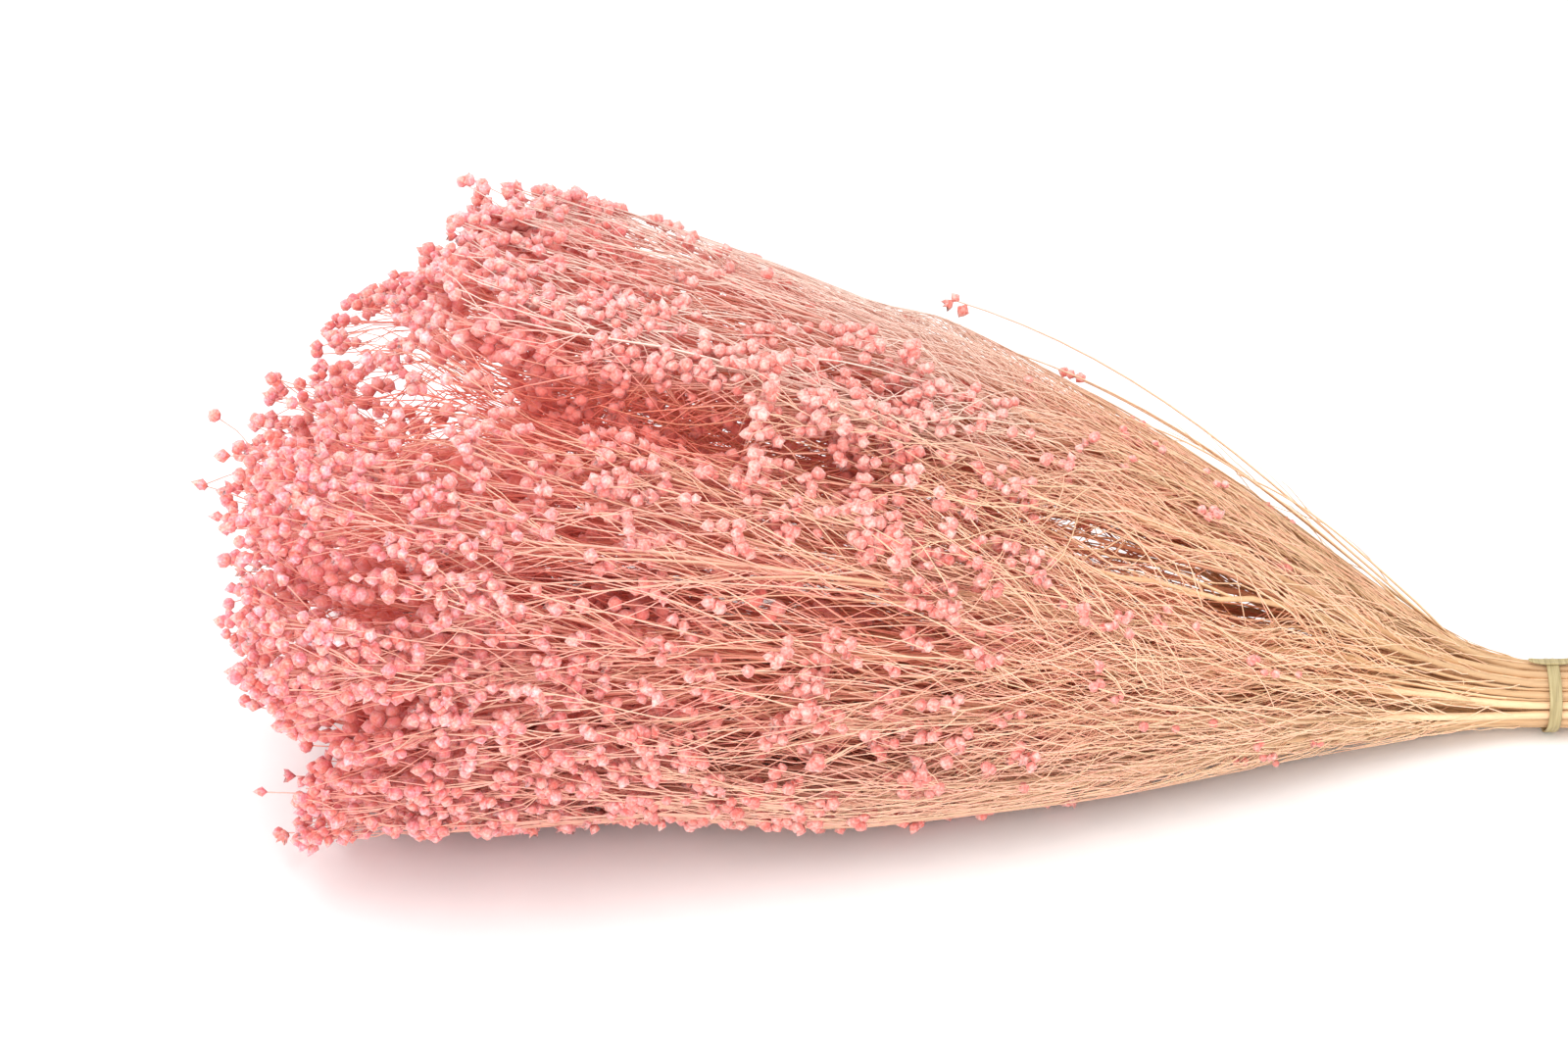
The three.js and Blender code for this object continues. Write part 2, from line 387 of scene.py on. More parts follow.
def add_bud(growth, spot, heading, tint):
    dice = growth["dice"]
    tint = float(np.clip(tint + dice.normal(0, 0.1), 0, 1))
    young = 0.72 + 0.28 * float(smooth(110, 220, -spot[0]))
    growth["buds"].append((spot, heading, young * dice.uniform(*BUD_THICK), tint, dice.random()))


def add_fan(growth, line, count, fringe=False):
    """Stalks at the end of a twig and just behind it, with one bud each or two or three side by side."""
    dice = growth["dice"]
    whole = length_of(line)
    t, turn, r = section(line[-1])
    under = float(buried(t, turn, r))
    crowded = under > 26 and dice.random() < 0.6
    if crowded or not fringe and furrow(t, turn) > 0.1 and dice.random() < 0.6:
        return
    shade = float(shade_at(t, turn, r)) + dice.normal(0, 0.1)
    count += int((2 * smooth(300, 350, t) - 1.4 * smooth(372, 400, t)) * (under < 22))
    for k in range(count):
        back = 0 if k < 2 else min(dice.uniform(0, 26), 0.7 * whole)
        root, heading = spot_on(line, whole - back)
        length = dice.uniform(5, 15) + 9 * dice.random() ** 3 + 0.25 * back
        steps = 4 if length > 15 and under < 15 else 3
        stalk = fork(dice, root, heading, length, dice.uniform(0.08, 0.55), steps, sway=0.03)
        stalk = keep_in(stalk, fringe)
        stray = STRAY_SHARE if stalk[-1] @ ACROSS_PARTING < STRAY_HEIGHT else 0
        too_far = beyond(stalk[-1:])[0] and dice.random() > stray
        if too_far or sparse(stalk[-1]) and dice.random() < 0.68:
            continue
        add_line(growth, stalk, np.linspace(*STALK_THICK, steps), STALK)
        ahead = directions(stalk)[-1]
        tint = shade + dice.normal(0, 0.08) + 0.25 * sparse(stalk[-1])
        add_bud(growth, stalk[-1], ahead, tint)
        for _ in range(int(dice.choice(3, p=BUDS_BESIDE))):
            aside = np.cross(ahead, dice.normal(size=3))
            aside = aside / np.linalg.norm(aside)
            add_bud(growth, stalk[-1] - ahead * dice.uniform(0.4, 2.6), 0.55 * ahead + aside, tint)


# %% [markdown]
# Twigs leave the branches all along. Some are bare, and more of them nearer the tie.

# %% Twigs on a branch
BLOOMING_END = 0.21
BARE_END = 0.14
HAIR = (0.24, 0.21, 0.19, 0.15, 0.1)


def add_twigs(growth, line, starts, lengths, thick):
    dice = growth["dice"]
    whole = length_of(line)
    for start, length in zip(starts, lengths):
        root, heading = spot_on(line, start * whole)
        t, turn, r = section(root)
        length = min(length, float(furthest(turn, r)) + dice.uniform(-22, -4) - t)
        if length < 10 or (buried(t, turn, r) > 32 and dice.random() < 0.45):
            continue
        steps = max(4, int(length / 10))
        lean = drift(t, turn, r)
        angle = dice.uniform(0.12, 0.42) + 0.1 * abs(lean)
        fringe = lean < -0.5
        inward = -0.3 if fringe else 0.75 * float(smooth(0.8, 1.0, r))
        twig = trimmed(keep_in(fork(dice, root, heading, length, angle, steps, inward, lean, 0.04), fringe))
        steps = len(twig)
        if steps < 3 or sparse(twig[-1]) and dice.random() < 0.55:
            continue
        if in_parting(twig) and dice.random() < 0.75:
            continue
        t, turn, r = section(twig[-1])
        blooms = dice.random() < float(bloom(t, turn)) or (fringe and dice.random() < 0.3)
        add_line(growth, twig, np.linspace(thick, BLOOMING_END if blooms else BARE_END, steps), TWIG)
        if blooms:
            add_fan(growth, twig, int(dice.integers(3, 7)), fringe)


def add_bare_twigs(growth, line, starts, longest):
    """Short twigs without buds, as thin as hair and a little pinker than the line that they leave."""
    dice = growth["dice"]
    whole = length_of(line)
    for start in starts:
        root, heading = spot_on(line, start * whole)
        length = dice.uniform(0.35, 1) * longest
        angle = dice.uniform(0.12, 0.5)
        twig = trimmed(keep_in(fork(dice, root, heading, length, angle, len(HAIR), 0.1, 0, 0.09)))
        if len(twig) == len(HAIR) and not in_parting(twig):
            add_line(growth, twig, HAIR, TWIG, 1.2)


# %% [markdown]
# The main stem is 2.7 mm thick at the tie and thins to a sixth of that. It swells a little at its joints,
# and has short stubs where leaves and side twigs broke off. The CAD model's stalks are kept as branches,
# and finer ones go in between them. The outer stems have a slim one beside them, and a few loose whips arch
# off the top.

# %% Growing one spray
STEM_THICK = ((-110, 0, 60, 100, 145, 200, 260, 424), (1.38, 1.36, 1.3, 1.12, 0.88, 0.6, 0.4, 0.22))
BARE_TWIGS = [0, 3, 14, 44]
MORE_BRANCHES = [5, 7, 13, 17]
WHIPS = [0, 3, 12, 24]
TIP_ROOM = 14
SLIM_START = -95


def main_stem(growth, stem):
    dice = growth["dice"]
    far = stem["reach"] - TIP_ROOM
    t = np.concatenate([[-stem["cut"] - 0.02], np.arange(-stem["cut"], far - 4, 11.0), [far]])
    spots = place(t, *stem_section(stem, t))
    joints = dice.random(len(t)) < 0.25
    thick = np.interp(t, *STEM_THICK) * dice.uniform(0.72, 1.1)
    thick = thick * dice.uniform(0.94, 1.03, len(t)) * (1 + 0.14 * joints)
    loose = 0.35 + 1.7 * smooth(6, 55, np.abs(t))
    for axis in (1, 2):
        spots[:, axis] += loose * np.interp(t, np.arange(-120, 440, 33), dice.uniform(-1, 1, 17))
    thick[0] = 0.35
    add_line(growth, spots, thick, STEM)
    for at in dice.uniform(12, 290, 10):
        root, heading = spot_on(spots, at)
        stub = fork(dice, root, heading, 1.0 + dice.uniform(1.2, 3.2), dice.uniform(0.6, 1.1), 3)
        add_line(growth, stub, (0.4, 0.28, 0.1), STALK)
    add_bare_twigs(growth, spots, dice.uniform(0.22, 0.6, BARE_TWIGS[stem["ring"]]), 60)
    return t, spots


def branch_between(dice, stem, start, end, u_end, v_end, steps, sway, late):
    """A branch from its stem to a spot in the section further on. Late ones keep to the stem at first."""
    share = np.linspace(0, 1, steps)
    t = mix(start, end, share)
    u, v = stem_section(stem, t)
    lean = share ** 1.5 if late else 1 - (1 - share) ** BEND
    u_from, v_from = stem_section(stem, end)
    spots = place(t, u + lean * (u_end - u_from), v + lean * (v_end - v_from))
    for axis in (1, 2):
        wave = np.sin(share * math.pi * dice.uniform(1.5, 5) + dice.uniform(0, 6))
        spots[:, axis] += (wave - wave[0]) * share * sway * dice.uniform(0.5, 2.2)
    return spots


def stalk_ends(stem):
    """The places where the CAD model's stalks end."""
    first = 0.45 if stem["ring"] == OUTER_RING else 0.62
    count = STALKS[stem["ring"]]
    for j in range(count):
        n = stem["number"] * 10 + j
        far = ((j + 0.3 + 0.7 * scatter(n, STALK_RATIO)) / count) ** 0.7
        t = mix(first, 0.985, far) * stem["reach"]
        root = max(20, t - mix(75, 120, scatter(n, ROOT_RATIO)))
        turn = stem["phase"] + GOLDEN_TURN * j
        u, v = cell_centre(stem, t)
        u = u + (CELL_RADIUS - 4.0 / float(half_width(t))) * math.cos(turn)
        v = v + (CELL_RADIUS - 4.0 / float(half_height(t))) * math.sin(turn)
        yield root, min(t, stem["reach"] - 16), u, v


def more_ends(growth, stem, count):
    """Ends of the finer branches, which cross into the room of the stems beside."""
    dice = growth["dice"]
    for j in range(count):
        t = mix(0.38, 1.0, ((j + dice.random()) / count) ** 0.62) * stem["reach"]
        root = max(dice.uniform(14, 60), t - dice.uniform(80, 240))
        turn = stem["phase"] + 1.1 + GOLDEN_TURN * j
        off = CELL_RADIUS * dice.uniform(0.4, 2.5)
        u, v = cell_centre(stem, t)
        u, v = u + off * math.cos(turn), v + off * math.sin(turn)
        round_turn = math.degrees(math.atan2(v, -u))
        far = math.hypot(u, v)
        shrink = min(1.0, (float(room(t, round_turn)) - 0.02) / far)
        t = min(t, float(furthest(round_turn, far * shrink)) + dice.uniform(-26, -10))
        yield root, t, u * shrink, v * shrink


def whip_ends(growth, stem):
    """Ends of the long thin whips, which leave the stem early and lie across its neighbours."""
    dice = growth["dice"]
    side = (540 - math.degrees(stem["turn"])) % 360 - 180
    outer = stem["ring"] == OUTER_RING
    on_top = outer and 75 < side < 165
    count = WHIPS[stem["ring"]] + int(12 * outer * hump(-80, 30, 20, side)) + 12 * on_top
    for k in range(count):
        veil = on_top and k % 2 == 0
        root = 8 + 120 * dice.random() ** 1.3
        t = dice.uniform(240, 330) if veil else root + dice.uniform(65, 190)
        u, v = cell_centre(stem, t)
        far = math.hypot(u, v)
        turn = math.atan2(v, u) + math.radians(dice.uniform(-15, 15) if veil else dice.uniform(-45, 45))
        outmost = float(room(t, math.degrees(math.pi - turn)))
        far = mix(far, outmost, dice.uniform(0.7, 1.0) if veil else dice.uniform(0.1, 0.95))
        yield root, t, far * math.cos(turn), far * math.sin(turn)


def slim_neighbour(growth, stem):
    """A thinner side stem, which leaves its stem behind the tie and runs on in the gap to the next one."""
    dice = growth["dice"]
    t = np.arange(SLIM_START, dice.uniform(150, 260), 13.0)
    u, v = stem_section(stem, t)
    leaving = smooth(SLIM_START, -40, t)
    turn = np.arctan2(v, u) + dice.choice((-0.17, 0.17)) * leaving
    far = np.hypot(u, v) * (1 + dice.uniform(-0.06, 0.05) * leaving)
    spots = place(t, far * np.cos(turn), far * np.sin(turn))
    loose = 1.6 * smooth(5, 70, t)
    for axis in (1, 2):
        spots[:, axis] += loose * np.interp(t, np.arange(-120, 300, 40), dice.uniform(-1, 1, 11))
    thick = np.interp(t, (SLIM_START, 60, 260), (0.9, 0.7, 0.25)) * dice.uniform(0.6, 1.15)
    add_line(growth, spots, thick, BRANCH)


def loose_whip(growth, stem):
    """A thin stem that stands off from the top of the bunch in an arc. Some end in a few small buds."""
    dice = growth["dice"]
    share = np.linspace(0, 1, 16)
    t = mix(dice.uniform(15, 45), dice.uniform(85, 215), share)
    u, v = stem_section(stem, t)
    far = mix(np.hypot(u, v), dice.uniform(0.95, 1.03), smooth(0, 0.2, share))
    far = far + dice.uniform(0.08, 0.36) * np.sin(0.85 * math.pi * share ** 0.8)
    turn = np.arctan2(v, u) + dice.uniform(-0.3, 0.3) * share
    spots = place(t, far * np.cos(turn), far * np.sin(turn))
    add_line(growth, spots, np.linspace(0.55, 0.34, len(share)), BRANCH)
    if dice.random() < 0.5:
        heading = directions(spots)[-1]
        for back in (0.5, 2.5, 5):
            add_bud(growth, spots[-1] - back * heading, heading + dice.normal(0, 0.5, 3), 0.6)
    for at in dice.uniform(30, 120, 3):
        root, heading = spot_on(spots, at)
        twig = fork(dice, root, heading, dice.uniform(10, 30), dice.uniform(0.1, 0.3), 5, sway=0.06)
        add_line(growth, twig, (0.2, 0.18, 0.16, 0.14, 0.1), TWIG)


def grow_branch(growth, stem, ends, widths, twigs, sway, late=True):
    """A branch with its twigs and the fan at its end."""
    dice = growth["dice"]
    root, end, u, v = ends
    if end - root < 30:
        return
    steps = max(6, int((end - root) / 12))
    line = trimmed(keep_in(branch_between(dice, stem, root, end, u, v, steps, sway, late)))
    if len(line) < 4 or late and in_parting(line) and dice.random() < 0.8:
        return
    tip_t, turn, _ = section(line[-1])
    blooms = dice.random() < float(bloom(tip_t, turn))
    add_line(growth, line, np.linspace(widths[0], widths[1] if blooms else BARE_END, len(line)), BRANCH)
    if blooms:
        add_fan(growth, line, int(dice.integers(2, 5)))
    if buried(*section(line[len(line) // 2])) < 18:
        add_bare_twigs(growth, line, dice.uniform(0.15, 0.9, 9 if -25 < turn < 50 else 6), 55)
    starts = dice.uniform(0.1, 0.97, twigs) ** 0.8
    add_twigs(growth, line, starts, dice.uniform(24, 90, twigs), min(0.29, 0.8 * widths[0]))


def grow_spray(stem):
    dice = np.random.default_rng(7100 + stem["number"])
    growth = {"lines": [], "buds": [], "dice": dice}
    t, spots = main_stem(growth, stem)
    late = spots[t > 0.45 * stem["reach"]]
    add_fan(growth, late, 4)
    add_twigs(growth, late, dice.uniform(0.0, 0.95, 7), dice.uniform(28, 80, 7), 0.3)
    for ends in stalk_ends(stem):
        grow_branch(growth, stem, ends, (0.62, 0.22), int(dice.integers(2, 6)), 1.0, late=False)
    for ends in more_ends(growth, stem, MORE_BRANCHES[stem["ring"]]):
        grow_branch(growth, stem, ends, (0.52, 0.22), int(dice.integers(2, 6)), 1.0)
    for ends in whip_ends(growth, stem):
        grow_branch(growth, stem, ends, (0.36, 0.2), int(dice.integers(1, 4)), 2.6)
    if stem["ring"] == OUTER_RING:
        slim_neighbour(growth, stem)
        if 90 < 180 - math.degrees(stem["turn"]) < 160:
            for _ in range(3):
                loose_whip(growth, stem)
    return growth


growths = [grow_spray(stem) for stem in stems]
print("lines:", sum(len(g["lines"]) for g in growths), "buds:", sum(len(g["buds"]) for g in growths))

# %% [markdown]
# ## From lines to a mesh that Geometry Nodes can read
# Blender passes numbers from a mesh to its nodes as named attributes. Each point gets its thickness, its
# grade (stem, branch, twig, stalk or bud), how far along the bunch it is and how deep it lies in it. A bud
# is a lone point with a direction, a size, a kind and a shade.

# %% The line mesh of a spray
BUD_ORDER = ["bud_round", "bud_shut", "bud_slim", "bud_star", "bud_within"]
KIND_SHARES = [0.45, 0.8, 0.93]
PLAIN_BELOW = 16
PLAIN_GROWTH = 1.25
BUD_CLEARANCE = 2.8


def put_values(mesh, name, kind, values):
    field = {"FLOAT": "value", "INT": "value", "FLOAT_VECTOR": "vector"}[kind]
    mesh.attributes.new(name, kind, "POINT").data.foreach_set(field, np.ascontiguousarray(values).ravel())


def line_mesh(name, growth):
    spots, thick, grade, hue = zip(*growth["lines"])
    lengths = [len(points) for points in spots]
    count = sum(lengths)
    numbers = np.delete(np.arange(count), np.cumsum(lengths) - 1)
    edges = np.stack([numbers, numbers + 1], axis=1)
    bud_spots, bud_headings, sizes, shades, throws = zip(*growth["buds"])
    spots = part_twigs(np.concatenate([*spots, bud_spots]))
    thick = np.concatenate([*thick, np.zeros(len(sizes))])
    spots[:, 2] = np.maximum(spots[:, 2], np.maximum(thick, 0.3) + 0.1)
    spots[count:, 2] = np.maximum(spots[count:, 2], BUD_CLEARANCE)
    t, turn, r = section(spots)
    deep = buried(t, turn, r)
    hidden = (deep > PLAIN_BELOW) & (furrow(t, turn) < 0.05)
    mesh = bpy.data.meshes.new(name)
    mesh.from_pydata(((spots + SHIFT) * MM).tolist(), edges.tolist(), [])
    put_values(mesh, "thick", "FLOAT", thick * MM)
    grade = np.concatenate([np.repeat(grade, lengths), np.full(len(sizes), BUD)])
    put_values(mesh, "grade", "INT", grade.astype(np.int32))
    put_values(mesh, "along", "FLOAT", t / HEAD_LENGTH)
    # How deep the point lies: both finishes use it to paint shade and bounce light deep in the bunch.
    put_values(mesh, "depth", "FLOAT", np.clip(deep / (8 + 0.25 * half_width(t)), 0, 1))
    heading = np.concatenate([np.tile((0.0, 0.0, 1.0), (count, 1)), bud_headings])
    heading[:, 2] = np.where(spots[:, 2] < 8, np.maximum(heading[:, 2], 0), heading[:, 2])
    put_values(mesh, "heading", "FLOAT_VECTOR", heading)
    # Paler on the outer stems on top of the bunch.
    put_values(mesh, "pale", "FLOAT", hump(70, 150, 15, turn) * smooth(130, 230, t) * smooth(0.66, 0.9, r))
    size = np.concatenate([np.zeros(count), np.array(sizes) * MM])
    put_values(mesh, "size", "FLOAT", size * np.where(hidden, PLAIN_GROWTH, 1))
    put_values(mesh, "tint", "FLOAT", np.concatenate([np.repeat(hue, lengths), 2 * np.array(shades) - 1]))
    kinds = np.searchsorted(KIND_SHARES, throws)
    kinds = np.where(hidden[count:], BUD_ORDER.index("bud_within"), kinds)
    put_values(mesh, "kind", "INT", np.concatenate([np.zeros(count), kinds]).astype(np.int32))
    return mesh


# %% [markdown]
# ## The buds
# A bud is an egg of overlapping papery scales with five low ridges and a short tip. There are four kinds:
# shut, rounder, open like a small star, and young and slim. Thousands are placed, so each is a few dozen
# faces, and a fifth, plainer kind stands deep inside the bunch. The number "ripe" runs from a bud's foot to
# its tip for colour, and "crease" marks the furrows between the ridges, where the finish paints shade.

# %% Kinds of bud
BUD_RINGS = {
    "bud_round": [(0.35, 0.8, 0), (1.0, 1.12, 0.84), (1.6, 0.76, 0), (2.05, 0, 0)],
    "bud_shut": [(0.95, 1.05, 0.8), (1.7, 0.68, 0), (2.4, 0, 0)],
    "bud_slim": [(1.05, 0.9, 0.68), (1.8, 0.5, 0), (2.6, 0, 0)],
    "bud_star": [(1.25, 1.02, 0.74), (2.0, 1.12, 0.45), (1.2, 0, 0)],
    "bud_within": [(0.5, 0.9, 0), (1.5, 0.9, 0), (2.4, 0, 0)],
}


def bud_mesh(name, rings):
    """Rings of corners from foot to tip: five in a plain ring, ten where ridges and furrows alternate."""
    verts, ripe, crease, faces = [(0, 0, 0)], [0.0], [0.5], []
    rows = [[0]]
    for height, ridge, between in rings:
        row = []
        count = 1 if ridge == 0 else 10 if between else 5
        for k in range(count):
            turn = 2 * math.pi * k / count
            r = between if between and k % 2 else ridge
            low = 0.35 if between and k % 2 and height > 1.9 else 0
            verts.append((r * math.cos(turn), r * math.sin(turn), height - low))
            ripe.append(min(1.0, height / 2.3))
            # Furrow corners get 1, ridges 0 and plain rings 0.35. The finish darkens by this value, which is
            # painted shade.
            crease.append(1.0 if between and k % 2 else 0.0 if between else 0.35)
            row.append(len(verts) - 1)
        rows.append(row)
    for low, high in zip(rows, rows[1:]):
        a, b = len(low), len(high)
        for k in range(max(a, b)):
            if a == b:
                n = (k + 1) % a
                faces.append((low[k], low[n], high[n], high[k]))
            elif a == 1:
                faces.append((low[0], high[(k + 1) % b], high[k]))
            elif b == 1:
                faces.append((low[k], low[(k + 1) % a], high[0]))
            elif a < b and k % 2 == 0:
                here, left, right = low[k // 2], high[k - 1], high[k + 1]
                faces += [(here, high[k], left), (here, right, high[k]), (here, low[(k // 2 + 1) % a], right)]
            elif a > b and k % 2 == 0:
                here, left, right = high[k // 2], low[k - 1], low[(k + 1) % a]
                faces += [(left, low[k], here), (low[k], right, here), (right, high[(k // 2 + 1) % b], here)]
    mesh = bpy.data.meshes.new(name)
    mesh.from_pydata(verts, [], faces)
    mesh.validate()
    put_values(mesh, "ripe", "FLOAT", ripe)
    put_values(mesh, "crease", "FLOAT", crease)
    return mesh


bud_kinds = bpy.data.collections.new("bud_kinds")
for name in BUD_ORDER:
    bud = bpy.data.objects.new(name, bud_mesh(name, BUD_RINGS[name]))
    bud_kinds.objects.link(bud)
    print(name, "has", len(bud.data.polygons), "faces")

# %% [markdown]
# ## Finishes
# Colours are given as sRGB hex values, as a picture shows them, and turned to the linear values that light
# adds up in. One helper adds a shader node with its settings and its links.

# %% Helpers for finishes


def linear(code):
    channels = [int(code[k:k + 2], 16) / 255 for k in (1, 3, 5)]
    return [c / 12.92 if c <= 0.04045 else ((c + 0.055) / 1.055) ** 2.4 for c in channels] + [1.0]


def add_node(tree, kind, values=None, links=None, **settings):
    node = tree.nodes.new(kind)
    for key, value in settings.items():
        setattr(node, key, value)
    for key, value in (values or {}).items():
        node.inputs[key].default_value = value
    for key, sources in (links or {}).items():
        for source in sources if isinstance(sources, list) else [sources]:
            tree.links.new(source, node.inputs[key])
    return node


def new_finish(name, roughness, bending):
    material = bpy.data.materials.new(name)
    material.use_nodes = True
    shader = material.node_tree.nodes["Principled BSDF"]
    shader.inputs["Roughness"].default_value = roughness
    shader.inputs["IOR"].default_value = bending
    return material, material.node_tree, shader


def set_stops(ramp, stops):
    band = ramp.color_ramp
    while len(band.elements) < len(stops):
        band.elements.new(0.5)
    for element, (position, code) in zip(band.elements, stops):
        element.position = position
        element.color = linear(code)


# %% [markdown]
# The stems are woody plant stalks, bleached and then soaked with dye and glycerine. Near the tie they are
# bare straw, further out they go peach and then pink, and the outer stems on top are paler. Deep inside
# the bunch they turn a brighter, more saturated coral, which is painted shade and bounce light, standing in
# for light that glows between and through the thin stems. Each line has a hue and a tone of its own. Fibres
# show as streaks along X, the way the stems run, drawn 0.6 mm apart, coarser than they are, so that they
# show from a metre away.

# %% Dyed straw of the stems
straw, tree, shader = new_finish("dyed_bleached_straw", 0.62, 1.45)
along, depth, tint, pale = [
    add_node(tree, "ShaderNodeAttribute", attribute_name=name).outputs["Fac"]
    for name in ("along", "depth", "tint", "pale")]
hue = add_node(tree, "ShaderNodeMath", {1: 0.17}, {0: tint, 2: along}, operation="MULTIPLY_ADD").outputs[0]
outer = add_node(tree, "ShaderNodeValToRGB", links={"Fac": hue})
set_stops(outer, [(0.0, "#D2AA80"), (0.14, "#EECAA0"), (0.3, "#FAD2AE"), (0.68, "#F7C0A8"), (1.0, "#F3AEA0")])
# The inner colours are painted shade and bounce light: a brighter, more saturated coral for stems deep in the
# bunch.
inner = add_node(tree, "ShaderNodeValToRGB", links={"Fac": hue})
set_stops(inner, [(0.0, "#F6C088"), (0.2, "#FFC08A"), (0.4, "#FFAE86"), (0.65, "#FF9680"), (1.0, "#FF9286")])
# The outer stems on top are mixed towards pale cream.
paler = add_node(tree, "ShaderNodeMath", {1: 0.85}, {0: pale}, operation="MULTIPLY")
paler_on_top = add_node(tree, "ShaderNodeMix", {"B": linear("#FEE8DC")},
                 {"Factor": paler.outputs[0], "A": outer.outputs[0]}, data_type="RGBA")
sunk = add_node(tree, "ShaderNodeMapRange", {"From Min": 0.1, "From Max": 0.85}, {"Value": depth})
dye_and_painted_glow = add_node(tree, "ShaderNodeMix", data_type="RGBA", links={
    "Factor": sunk.outputs[0], "A": paler_on_top.outputs["Result"], "B": inner.outputs[0]})
spot = add_node(tree, "ShaderNodeTexCoord").outputs["Object"]
stretch = add_node(tree, "ShaderNodeMapping", {"Scale": (0.06, 1, 1)}, {"Vector": spot})
fibre = add_node(tree, "ShaderNodeTexNoise", {"Scale": 1 / (0.6 * MM), "Detail": 3},
                 {"Vector": stretch.outputs[0]}).outputs[0]
streak = add_node(tree, "ShaderNodeMapRange",
                  {"From Min": 0.3, "From Max": 0.7, "To Min": 0.88, "To Max": 1.06}, {"Value": fibre})
tone = add_node(tree, "ShaderNodeMath", {1: 0.07}, {0: tint, 2: streak.outputs[0]}, operation="MULTIPLY_ADD")
coat = add_node(tree, "ShaderNodeMix", {"Factor": 1.0}, {"A": dye_and_painted_glow.outputs["Result"], "B": tone.outputs[0]},
                data_type="RGBA", blend_type="MULTIPLY")
tree.links.new(coat.outputs["Result"], shader.inputs["Base Color"])
grain = add_node(tree, "ShaderNodeBump", {"Strength": 0.35, "Distance": 0.12 * MM}, {"Height": fibre})
tree.links.new(grain.outputs[0], shader.inputs["Normal"])

# %% [markdown]
# A bud is made of dry papery scales that took up the dye unevenly: coral at the foot, pale pink at the
# shoulder, and rosier towards the far end. Its furrows are painted darker as shade, and buds deep in the
# bunch take a deeper coral, which is painted shade and bounce light. Paper scatters light softly, so it is
# rough with a faint sheen, and has fine wrinkles, drawn here 0.9 mm apart so that they still show from a
# metre away.

# %% Dyed papery scales of the buds
paper, tree, shader = new_finish("dyed_papery_scales", 0.7, 1.42)
shader.inputs["Sheen Weight"].default_value = 0.25
shader.inputs["Sheen Roughness"].default_value = 0.5
ripe, tint, depth, crease, along = [
    add_node(tree, "ShaderNodeAttribute", attribute_name=name).outputs["Fac"]
    for name in ("ripe", "tint", "depth", "crease", "along")]
spot = add_node(tree, "ShaderNodeTexCoord").outputs["Object"]
blotch, wrinkle = [
    add_node(tree, "ShaderNodeTexNoise", {"Scale": 1 / (apart * MM), "Detail": detail},
             {"Vector": spot}).outputs[0] for apart, detail in ((3, 2), (0.9, 3))]
lift = ripe
# The crease value darkens the furrows between the ridges: painted shade.
for source, weight in ((wrinkle, 3.2), (tint, 0.35), (crease, -0.6)):
    lift = add_node(tree, "ShaderNodeMath", {1: weight}, {0: source, 2: lift},
                    operation="MULTIPLY_ADD").outputs[0]
fade = add_node(tree, "ShaderNodeMapRange", {"From Min": 0.9, "From Max": 2.65}, {"Value": lift})
coral = add_node(tree, "ShaderNodeValToRGB", links={"Fac": fade.outputs[0]})
set_stops(coral, [(0.0, "#DC685C"), (0.3, "#E67F73"), (0.6, "#ED9A8E"), (1.0, "#F5C4B9")])
rosy = add_node(tree, "ShaderNodeValToRGB", links={"Fac": fade.outputs[0]})
set_stops(rosy, [(0.0, "#DC6670"), (0.3, "#E67F88"), (0.6, "#EE9CA6"), (1.0, "#F6C8CE")])
rosier = add_node(tree, "ShaderNodeMapRange",
                  {"From Min": 0.6, "From Max": 0.92, "To Min": 0.15, "To Max": 1.0}, {"Value": along})
patch = add_node(tree, "ShaderNodeMapRange", {"From Min": 0.42, "From Max": 0.62},
                 {"Value": blotch, "To Max": rosier.outputs[0]})
blush = add_node(tree, "ShaderNodeMix", data_type="RGBA", links={
    "Factor": patch.outputs[0], "A": coral.outputs[0], "B": rosy.outputs[0]})
# Buds deep in the bunch go a deeper coral: painted shade and bounce light.
sunk = add_node(tree, "ShaderNodeMapRange", {"From Min": 0.15, "From Max": 0.95, "To Max": 0.6},
                {"Value": depth})
deep = add_node(tree, "ShaderNodeMix", {"B": linear("#F28274")},
                {"Factor": sunk.outputs[0], "A": blush.outputs["Result"]}, data_type="RGBA")
tree.links.new(deep.outputs["Result"], shader.inputs["Base Color"])
crumple = add_node(tree, "ShaderNodeBump", {"Strength": 0.8, "Distance": 0.35 * MM}, {"Height": wrinkle})
tree.links.new(crumple.outputs[0], shader.inputs["Normal"])

# %% [markdown]
# ## Geometry Nodes: tubes round the lines, buds on the points
# The tree splits the line mesh by grade. Lines become curves, and each gets a tube with as many sides as
# its thickness needs. The lone points get a bud each, turned along its stalk. Realize Instances makes the
# buds real faces, because an export drops instances, and Set Material gives each part its finish.

# %% The tree that dresses a spray
SIDES = {"Stem sides": 8, "Branch sides": 3, "Twig sides": 3, "Stalk sides": 3}
dress = bpy.data.node_groups.new("dress_spray", "GeometryNodeTree")
for name, kind in (("Lines", "Geometry"), *((name, "Int") for name in SIDES), ("Bud kinds", "Collection"),
                   ("Seed", "Int"), ("Stem finish", "Material"), ("Bud finish", "Material")):
    dress.interface.new_socket(name, in_out="INPUT", socket_type="NodeSocket" + kind)
dress.interface.new_socket("Spray", in_out="OUTPUT", socket_type="NodeSocketGeometry")
given = add_node(dress, "NodeGroupInput").outputs
grade = add_node(dress, "GeometryNodeInputNamedAttribute", {"Name": "grade"}, data_type="INT").outputs[0]
thick = add_node(dress, "GeometryNodeInputNamedAttribute", {"Name": "thick"}, data_type="FLOAT").outputs[0]
rest = given["Lines"]
tubes = []
